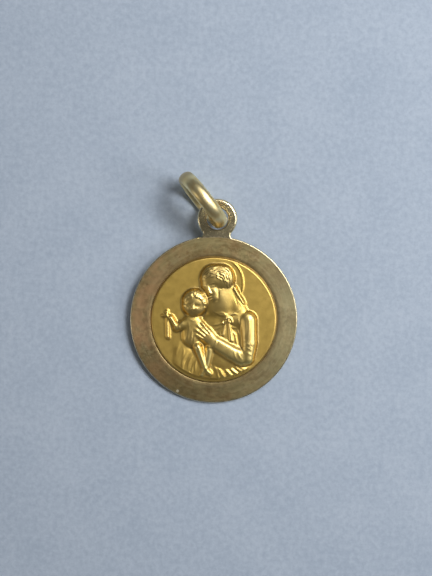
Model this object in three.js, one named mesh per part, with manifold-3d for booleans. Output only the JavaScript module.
// A religious medal on its jump ring, lying face up. The medal is one struck piece of gold: a thin
// disc with a flat rim, a raised medallion with a mother and child in relief, and a pierced eyelet.
// A closed ring of flattened wire passes through the eyelet and stands on the surface under it, so
// the medal rests on the far edge of its back and is lifted a little at the eyelet.
// Millimetres, +Z up, the surface at z = 0, +Y from the medal towards its ring.
import * as THREE from "three";
import { mergeVertices } from "three/addons/utils/BufferGeometryUtils.js";
import Module from "manifold-3d";

const wasm = await Module();
wasm.setup();
const { degToRad, clamp, lerp, smoothstep } = THREE.MathUtils;

// Disc and medallion
const DISC_RADIUS = 9.0;
const PLATE_THICKNESS = 0.5;
const EDGE_BEVEL = 0.12;
const MEDALLION_RADIUS = 6.75; // at the foot of its sloping edge
const MEDALLION_SLOPE = 0.2; // how far that edge leans in from foot to field
const FIELD_STEP = 0.25; // the medallion's field above the rim
const RELIEF_RISE = 0.75; // the highest form above the field
const BORDER_FADE = 0.3; // the relief runs out over this width at the field's border

// Eyelet
const EYELET_RADIUS = 2.15;
const EYELET_HOLE_RADIUS = 1.18;
const EYELET_STANDOFF = 1.88; // its centre beyond the disc's edge
const NECK_WIDTH = 3.0;
const NECK_ROOT = 0.6; // how far the neck runs into the disc

// Jump ring
const RING_RADIUS = 3.56; // outside
const WIRE_WIDTH = 1.56; // along the ring's axis
const WIRE_THICKNESS = 1.0; // from outside to bore
const RING_HEADING = degToRad(130.5); // seen from above, from the eyelet's hole to the ring's centre
const RING_REACH = 2.45; // between those two, seen from above
const RING_LEAN = degToRad(3); // out of upright
const RING_CLEARANCE = 0.12; // from the wire to the hole's back edge, which its bevel widens
const BALANCE = degToRad(1.2); // how far round its weight carries the edge that the medal rests on

// Fineness of the meshes
const FIELD_CELLS = 64; // across the field
const DISC_SEGMENTS = 60;
const OUTLINE_SEGMENTS = 20; // in each curve of the eyelet
const WIRE_SIDES = 14;
const RING_STEPS = 48;

// The relief's rounded forms, from the back to the front. Each runs from one end to the other.
// Places and radii are shares of the field's radius, measured from its centre. Heights are shares of
// the relief's rise: outline at the form's edge, crests along its middle. A form that joins melts
// into the one before it, and any other lies over what is behind it.
const COLUMNS = ["form", "x0", "y0", "x1", "y1", "r0", "r1", "outline", "crest0", "crest1", "laid"];
const FORMS = [
  ["lap", -0.4, -0.76, 0.38, -0.84, 0.28, 0.27, 0, 0.14, 0.3, "over"],
  ["cloth", -0.52, -0.5, -0.44, -0.74, 0.16, 0.26, 0, 0.08, 0.12, "joins"],
  ["bust", 0.14, -0.12, 0.24, -0.5, 0.36, 0.4, 0, 0.36, 0.42, "over"],
  ["shoulders", 0.2, 0.06, 0.48, 0.0, 0.15, 0.17, 0, 0.46, 0.52, "joins"],
  ["veil", 0.27, 0.48, 0.4, 0.14, 0.09, 0.16, 0, 0.36, 0.44, "joins"],
  ["neck", 0.175, 0.6, 0.185, 0.26, 0.095, 0.15, 0, 0.76, 0.56, "joins"],
  ["veil_edge", 0.3, 0.54, 0.47, 0.28, 0.028, 0.028, 0.2, 0.6, 0.54, "over"],
  ["upper_arm", 0.56, 0.02, 0.59, -0.36, 0.14, 0.13, 0.1, 0.86, 0.94, "over"],
  ["elbow", 0.59, -0.36, 0.595, -0.62, 0.13, 0.095, 0.1, 0.94, 0.88, "joins"],
  ["head", -0.02, 0.69, 0.1, 0.695, 0.225, 0.22, 0.08, 1, 1, "over"],
  ["face", -0.06, 0.57, 0.0, 0.38, 0.17, 0.095, 0.08, 0.86, 0.74, "joins"],
  ["child_trunk", -0.345, -0.08, -0.34, -0.29, 0.175, 0.17, 0.06, 0.5, 0.52, "over"],
  ["child_shoulders", -0.32, -0.05, -0.5, -0.095, 0.13, 0.085, 0.06, 0.5, 0.48, "joins"],
  ["child_upper_arm", -0.5, -0.095, -0.605, -0.15, 0.08, 0.058, 0.06, 0.48, 0.46, "joins"],
  ["child_forearm", -0.605, -0.15, -0.705, 0.02, 0.05, 0.042, 0.06, 0.46, 0.48, "joins"],
  ["cross_upright", -0.774, 0.12, -0.743, -0.31, 0.024, 0.03, 0, 0.3, 0.38, "over"],
  ["cross_arms", -0.83, 0.05, -0.71, 0.04, 0.024, 0.024, 0, 0.3, 0.3, "joins"],
  ["far_leg", -0.055, -0.49, -0.085, -0.76, 0.075, 0.048, 0.2, 0.7, 0.58, "over"],
  ["near_leg", -0.25, -0.45, -0.115, -0.8, 0.075, 0.048, 0.2, 0.8, 0.66, "over"],
  ["near_foot", -0.105, -0.82, -0.03, -0.88, 0.048, 0.036, 0.2, 0.6, 0.52, "joins"],
  ["far_foot", -0.105, -0.79, -0.16, -0.9, 0.045, 0.036, 0.18, 0.52, 0.46, "over"],
  ["child_head", -0.315, 0.29, -0.325, 0.235, 0.21, 0.195, 0.1, 0.96, 0.92, "over"],
  ["forearm", 0.54, -0.62, 0.3, -0.525, 0.095, 0.09, 0.3, 0.88, 0.88, "over"],
  ["wrist", 0.3, -0.525, 0.03, -0.375, 0.09, 0.078, 0.3, 0.88, 0.8, "joins"],
  ["hand", 0.03, -0.375, -0.13, -0.235, 0.08, 0.105, 0.3, 0.78, 0.7, "joins"],
  ["fingers", -0.17, -0.19, -0.24, -0.13, 0.09, 0.06, 0.3, 0.68, 0.58, "joins"],
].map((row) => Object.fromEntries(row.map((value, i) => [COLUMNS[i], value])));
const MELT = 0.07; // how softly forms join, as a share of the relief's rise
const DRAFT = 8; // the drop outside a form's edge, as a share of the rise for one field radius
const HALO = { x: 0, y: 0.6, radius: 0.46, width: 0.02, crest: 0.12 };

const FIELD_RADIUS = MEDALLION_RADIUS - MEDALLION_SLOPE;
const FIELD_HEIGHT = PLATE_THICKNESS + FIELD_STEP;
const EYELET_Y = DISC_RADIUS + EYELET_STANDOFF;

const gold = new THREE.MeshStandardMaterial({ color: 0xc9a24a, roughness: 0.34, metalness: 1 });
const ringGold = new THREE.MeshStandardMaterial({ color: 0xd6b468, roughness: 0.2, metalness: 1 });

// A closed mesh as a solid for the boolean joins.
function solid(geometry) {
  const bare = geometry.clone();
  bare.deleteAttribute("normal");
  bare.deleteAttribute("uv");
  const merged = mergeVertices(bare, 1e-4);
  return new wasm.Manifold(
    new wasm.Mesh({
      numProp: 3,
      vertProperties: merged.attributes.position.array,
      triVerts: new Uint32Array(merged.index.array),
    }),
  );
}

function geometryOf(manifold) {
  const { vertProperties, triVerts } = manifold.getMesh();
  const geometry = new THREE.BufferGeometry();
  geometry.setAttribute("position", new THREE.BufferAttribute(vertProperties, 3));
  geometry.setIndex(new THREE.BufferAttribute(triVerts, 1));
  geometry.computeVertexNormals();
  return geometry;
}

// The height of one form at a point: round across, level with its outline at its edge, and dropping
// steeply outside it.
function formHeight(f, x, y) {
  const along = new THREE.Vector2(f.x1 - f.x0, f.y1 - f.y0);
  const from = new THREE.Vector2(x - f.x0, y - f.y0);
  const t = clamp(from.dot(along) / along.lengthSq(), 0, 1);
  const radius = lerp(f.r0, f.r1, t);
  const off = from.addScaledVector(along, -t).length();
  if (off > radius) return f.outline - DRAFT * (off - radius);
  const round = Math.sqrt(1 - (off / radius) ** 2);
  return f.outline + (lerp(f.crest0, f.crest1, t) - f.outline) * round;
}

function melt(a, b) {
  const h = clamp(0.5 + (0.5 * (a - b)) / MELT, 0, 1);
  return lerp(b, a, h) + MELT * h * (1 - h);
}

// The relief's height above the field, in millimetres, at a place on the field.
function reliefHeight(placeX, placeY) {
  const x = placeX / FIELD_RADIUS;
  const y = placeY / FIELD_RADIUS;
  const fromHalo = Math.hypot(x - HALO.x, y - HALO.y) - HALO.radius;
  let height = Math.max(0, HALO.crest * (1 - Math.abs(fromHalo) / HALO.width));
  let figure = 0;
  for (const f of FORMS) {
    const form = formHeight(f, x, y);
    if (f.laid === "over") {
      height = Math.max(height, figure);
      figure = form;
    } else {
      figure = melt(figure, form);
    }
  }
  height = Math.max(height, figure);
  const inside = FIELD_RADIUS - Math.hypot(placeX, placeY);
  return height * RELIEF_RISE * smoothstep(inside, 0, BORDER_FADE);
}

// The raised medallion: a square grid drawn out to a disc for the field and its relief, closed by
// the sloping edge and a floor inside the plate.
function medallion() {
  const n = FIELD_CELLS;
  const positions = [];
  const triangles = [];
  for (let j = 0; j <= n; j++) {
    for (let i = 0; i <= n; i++) {
      const u = (2 * i) / n - 1;
      const v = (2 * j) / n - 1;
      const x = FIELD_RADIUS * u * Math.sqrt(1 - (v * v) / 2);
      const y = FIELD_RADIUS * v * Math.sqrt(1 - (u * u) / 2);
      positions.push(x, y, FIELD_HEIGHT + reliefHeight(x, y));
    }
  }
  const at = (i, j) => j * (n + 1) + i;
  const drop = (v, w) => Math.abs(positions[3 * v + 2] - positions[3 * w + 2]);
  const atEnd = (k) => k === 0 || k === n - 1;
  for (let j = 0; j < n; j++) {
    for (let i = 0; i < n; i++) {
      const [a, b, c, d] = [at(i, j), at(i + 1, j), at(i + 1, j + 1), at(i, j + 1)];
      // A cell is split along its flatter diagonal, so that edges run smoothly, and one in a corner
      // of the grid along the diagonal that points at the centre, so that it makes no sliver.
      const towardCentre = (i < n / 2) === (j < n / 2);
      const split = atEnd(i) && atEnd(j) ? towardCentre : drop(a, c) < drop(b, d);
      if (split) triangles.push(a, b, c, a, c, d);
      else triangles.push(a, b, d, b, c, d);
    }
  }
  let border = [];
  for (let k = 0; k < n; k++) border.push(at(k, 0));
  for (let k = 0; k < n; k++) border.push(at(n, k));
  for (let k = n; k > 0; k--) border.push(at(k, n));
  for (let k = n; k > 0; k--) border.push(at(0, k));
  const middle = PLATE_THICKNESS / 2;
  for (const z of [PLATE_THICKNESS, middle]) {
    const next = border.map((v) => {
      const bearing = Math.atan2(positions[3 * v + 1], positions[3 * v]);
      positions.push(MEDALLION_RADIUS * Math.cos(bearing), MEDALLION_RADIUS * Math.sin(bearing), z);
      return positions.length / 3 - 1;
    });
    border.forEach((v, k) => {
      const w = (k + 1) % border.length;
      triangles.push(v, next[k], next[w], v, next[w], border[w]);
    });
    border = next;
  }
  const centre = positions.push(0, 0, middle) / 3 - 1;
  border.forEach((v, k) => triangles.push(v, centre, border[(k + 1) % border.length]));
  const geometry = new THREE.BufferGeometry();
  geometry.setAttribute("position", new THREE.Float32BufferAttribute(positions, 3));
  geometry.setIndex(triangles);
  return geometry;
}

// The disc, with its edge bevelled on both faces. It is turned so that the middle of one of its flats
// lies at the given bearing.
function disc(flatBearing) {
  const profile = [
    [0, 0],
    [DISC_RADIUS - EDGE_BEVEL, 0],
    [DISC_RADIUS, EDGE_BEVEL],
    [DISC_RADIUS, PLATE_THICKNESS - EDGE_BEVEL],
    [DISC_RADIUS - EDGE_BEVEL, PLATE_THICKNESS],
    [0, PLATE_THICKNESS],
  ].map(([r, z]) => new THREE.Vector2(r, z));
  const turn = flatBearing + Math.PI / DISC_SEGMENTS - Math.PI / 2;
  return new THREE.LatheGeometry(profile, DISC_SEGMENTS).rotateX(Math.PI / 2).rotateZ(turn);
}

// The eyelet and its short neck, the same thickness as the disc and flush with it.
function eyelet() {
  const halfNeck = NECK_WIDTH / 2;
  const shoulder = Math.acos(halfNeck / EYELET_RADIUS);
  const outline = new THREE.Shape();
  outline.moveTo(-halfNeck, -EYELET_STANDOFF - NECK_ROOT);
  outline.lineTo(halfNeck, -EYELET_STANDOFF - NECK_ROOT);
  outline.absarc(0, 0, EYELET_RADIUS, -shoulder, Math.PI + shoulder, false);
  const hole = new THREE.Path();
  hole.absarc(0, 0, EYELET_HOLE_RADIUS, 0, 2 * Math.PI, true);
  outline.holes.push(hole);
  const geometry = new THREE.ExtrudeGeometry(outline, {
    depth: PLATE_THICKNESS - 2 * EDGE_BEVEL,
    bevelThickness: EDGE_BEVEL,
    bevelSize: EDGE_BEVEL,
    bevelOffset: -EDGE_BEVEL,
    bevelSegments: 1,
    curveSegments: OUTLINE_SEGMENTS,
  });
  return geometry.translate(0, EYELET_Y, EDGE_BEVEL);
}

// The jump ring, about its axis along Z: oval wire with its crown outside.
function wireRing() {
  const section = [];
  for (let k = 0; k <= WIRE_SIDES; k++) {
    const turn = (2 * Math.PI * (k % WIRE_SIDES)) / WIRE_SIDES;
    const fromCrown = (WIRE_THICKNESS / 2) * (1 - Math.cos(turn));
    section.push(new THREE.Vector2(RING_RADIUS - fromCrown, (WIRE_WIDTH / 2) * Math.sin(turn)));
  }
  return new THREE.LatheGeometry(section, RING_STEPS).rotateX(Math.PI / 2);
}

// How the medal and the ring rest. The back edge of the eyelet's hole lies inside the ring, just over
// the wire, which sets how far the middle of the hole is below the middle of the ring.
const inner = RING_RADIUS - WIRE_THICKNESS - RING_CLEARANCE;
const holeDrop = Math.sqrt(inner ** 2 - (RING_REACH - EYELET_HOLE_RADIUS) ** 2) - PLATE_THICKNESS / 2;
const ringHeight = RING_RADIUS * Math.cos(RING_LEAN);
const holeHeight = ringHeight - holeDrop * Math.cos(RING_LEAN);
const heading = new THREE.Vector3(Math.cos(RING_HEADING), Math.sin(RING_HEADING), 0);
const leanSide = new THREE.Vector3(heading.y, -heading.x, 0);

// The ring's foot on the surface, and the bearing of the disc's edge that rests there too: straight
// across from that foot, and a little further round, where the pendant's weight balances.
const ringFoot = new THREE.Vector3(0, EYELET_Y, 0)
  .addScaledVector(heading, RING_REACH)
  .addScaledVector(leanSide, -RING_RADIUS * Math.sin(RING_LEAN));
const restBearing = Math.atan2(-ringFoot.y, -ringFoot.x) + BALANCE;

function restMedal(medal) {
  const backRadius = (DISC_RADIUS - EDGE_BEVEL) * Math.cos(Math.PI / DISC_SEGMENTS);
  const slope = backRadius - EYELET_Y * Math.sin(restBearing);
  const tilt = Math.asin((holeHeight - PLATE_THICKNESS / 2) / slope);
  const hinge = new THREE.Vector3(-Math.sin(restBearing), Math.cos(restBearing), 0);
  medal.quaternion.setFromAxisAngle(hinge, tilt);
  medal.position.set(0, 0, backRadius * Math.sin(tilt));
}

// The ring stands on its foot, with its wire through the middle of the eyelet's hole.
function restRing(ring, medal) {
  medal.updateMatrixWorld();
  const hole = medal.localToWorld(new THREE.Vector3(0, EYELET_Y, PLATE_THICKNESS / 2));
  const up = new THREE.Vector3(0, 0, Math.cos(RING_LEAN)).addScaledVector(leanSide, Math.sin(RING_LEAN));
  const across = new THREE.Vector3().crossVectors(heading, up);
  ring.quaternion.setFromRotationMatrix(new THREE.Matrix4().makeBasis(heading, up, across));
  ring.position.copy(hole).addScaledVector(heading, RING_REACH);
  ring.position.z = ringHeight;
}

const struck = solid(disc(restBearing)).add(solid(eyelet())).add(solid(medallion()));
const medal = new THREE.Mesh(geometryOf(struck), gold);
medal.name = "medal";
restMedal(medal);

const jumpRing = new THREE.Mesh(wireRing(), ringGold);
jumpRing.name = "jump_ring";
restRing(jumpRing, medal);

// The pendant's origin is under the middle of its outline, on the surface that it lies on.
const pendant = new THREE.Group();
pendant.add(medal, jumpRing);
const reach = new THREE.Box3().setFromObject(pendant, true);
const middle = reach.getCenter(new THREE.Vector3());
pendant.children.forEach((piece) => piece.position.sub(new THREE.Vector3(middle.x, middle.y, reach.min.z)));

export default pendant;
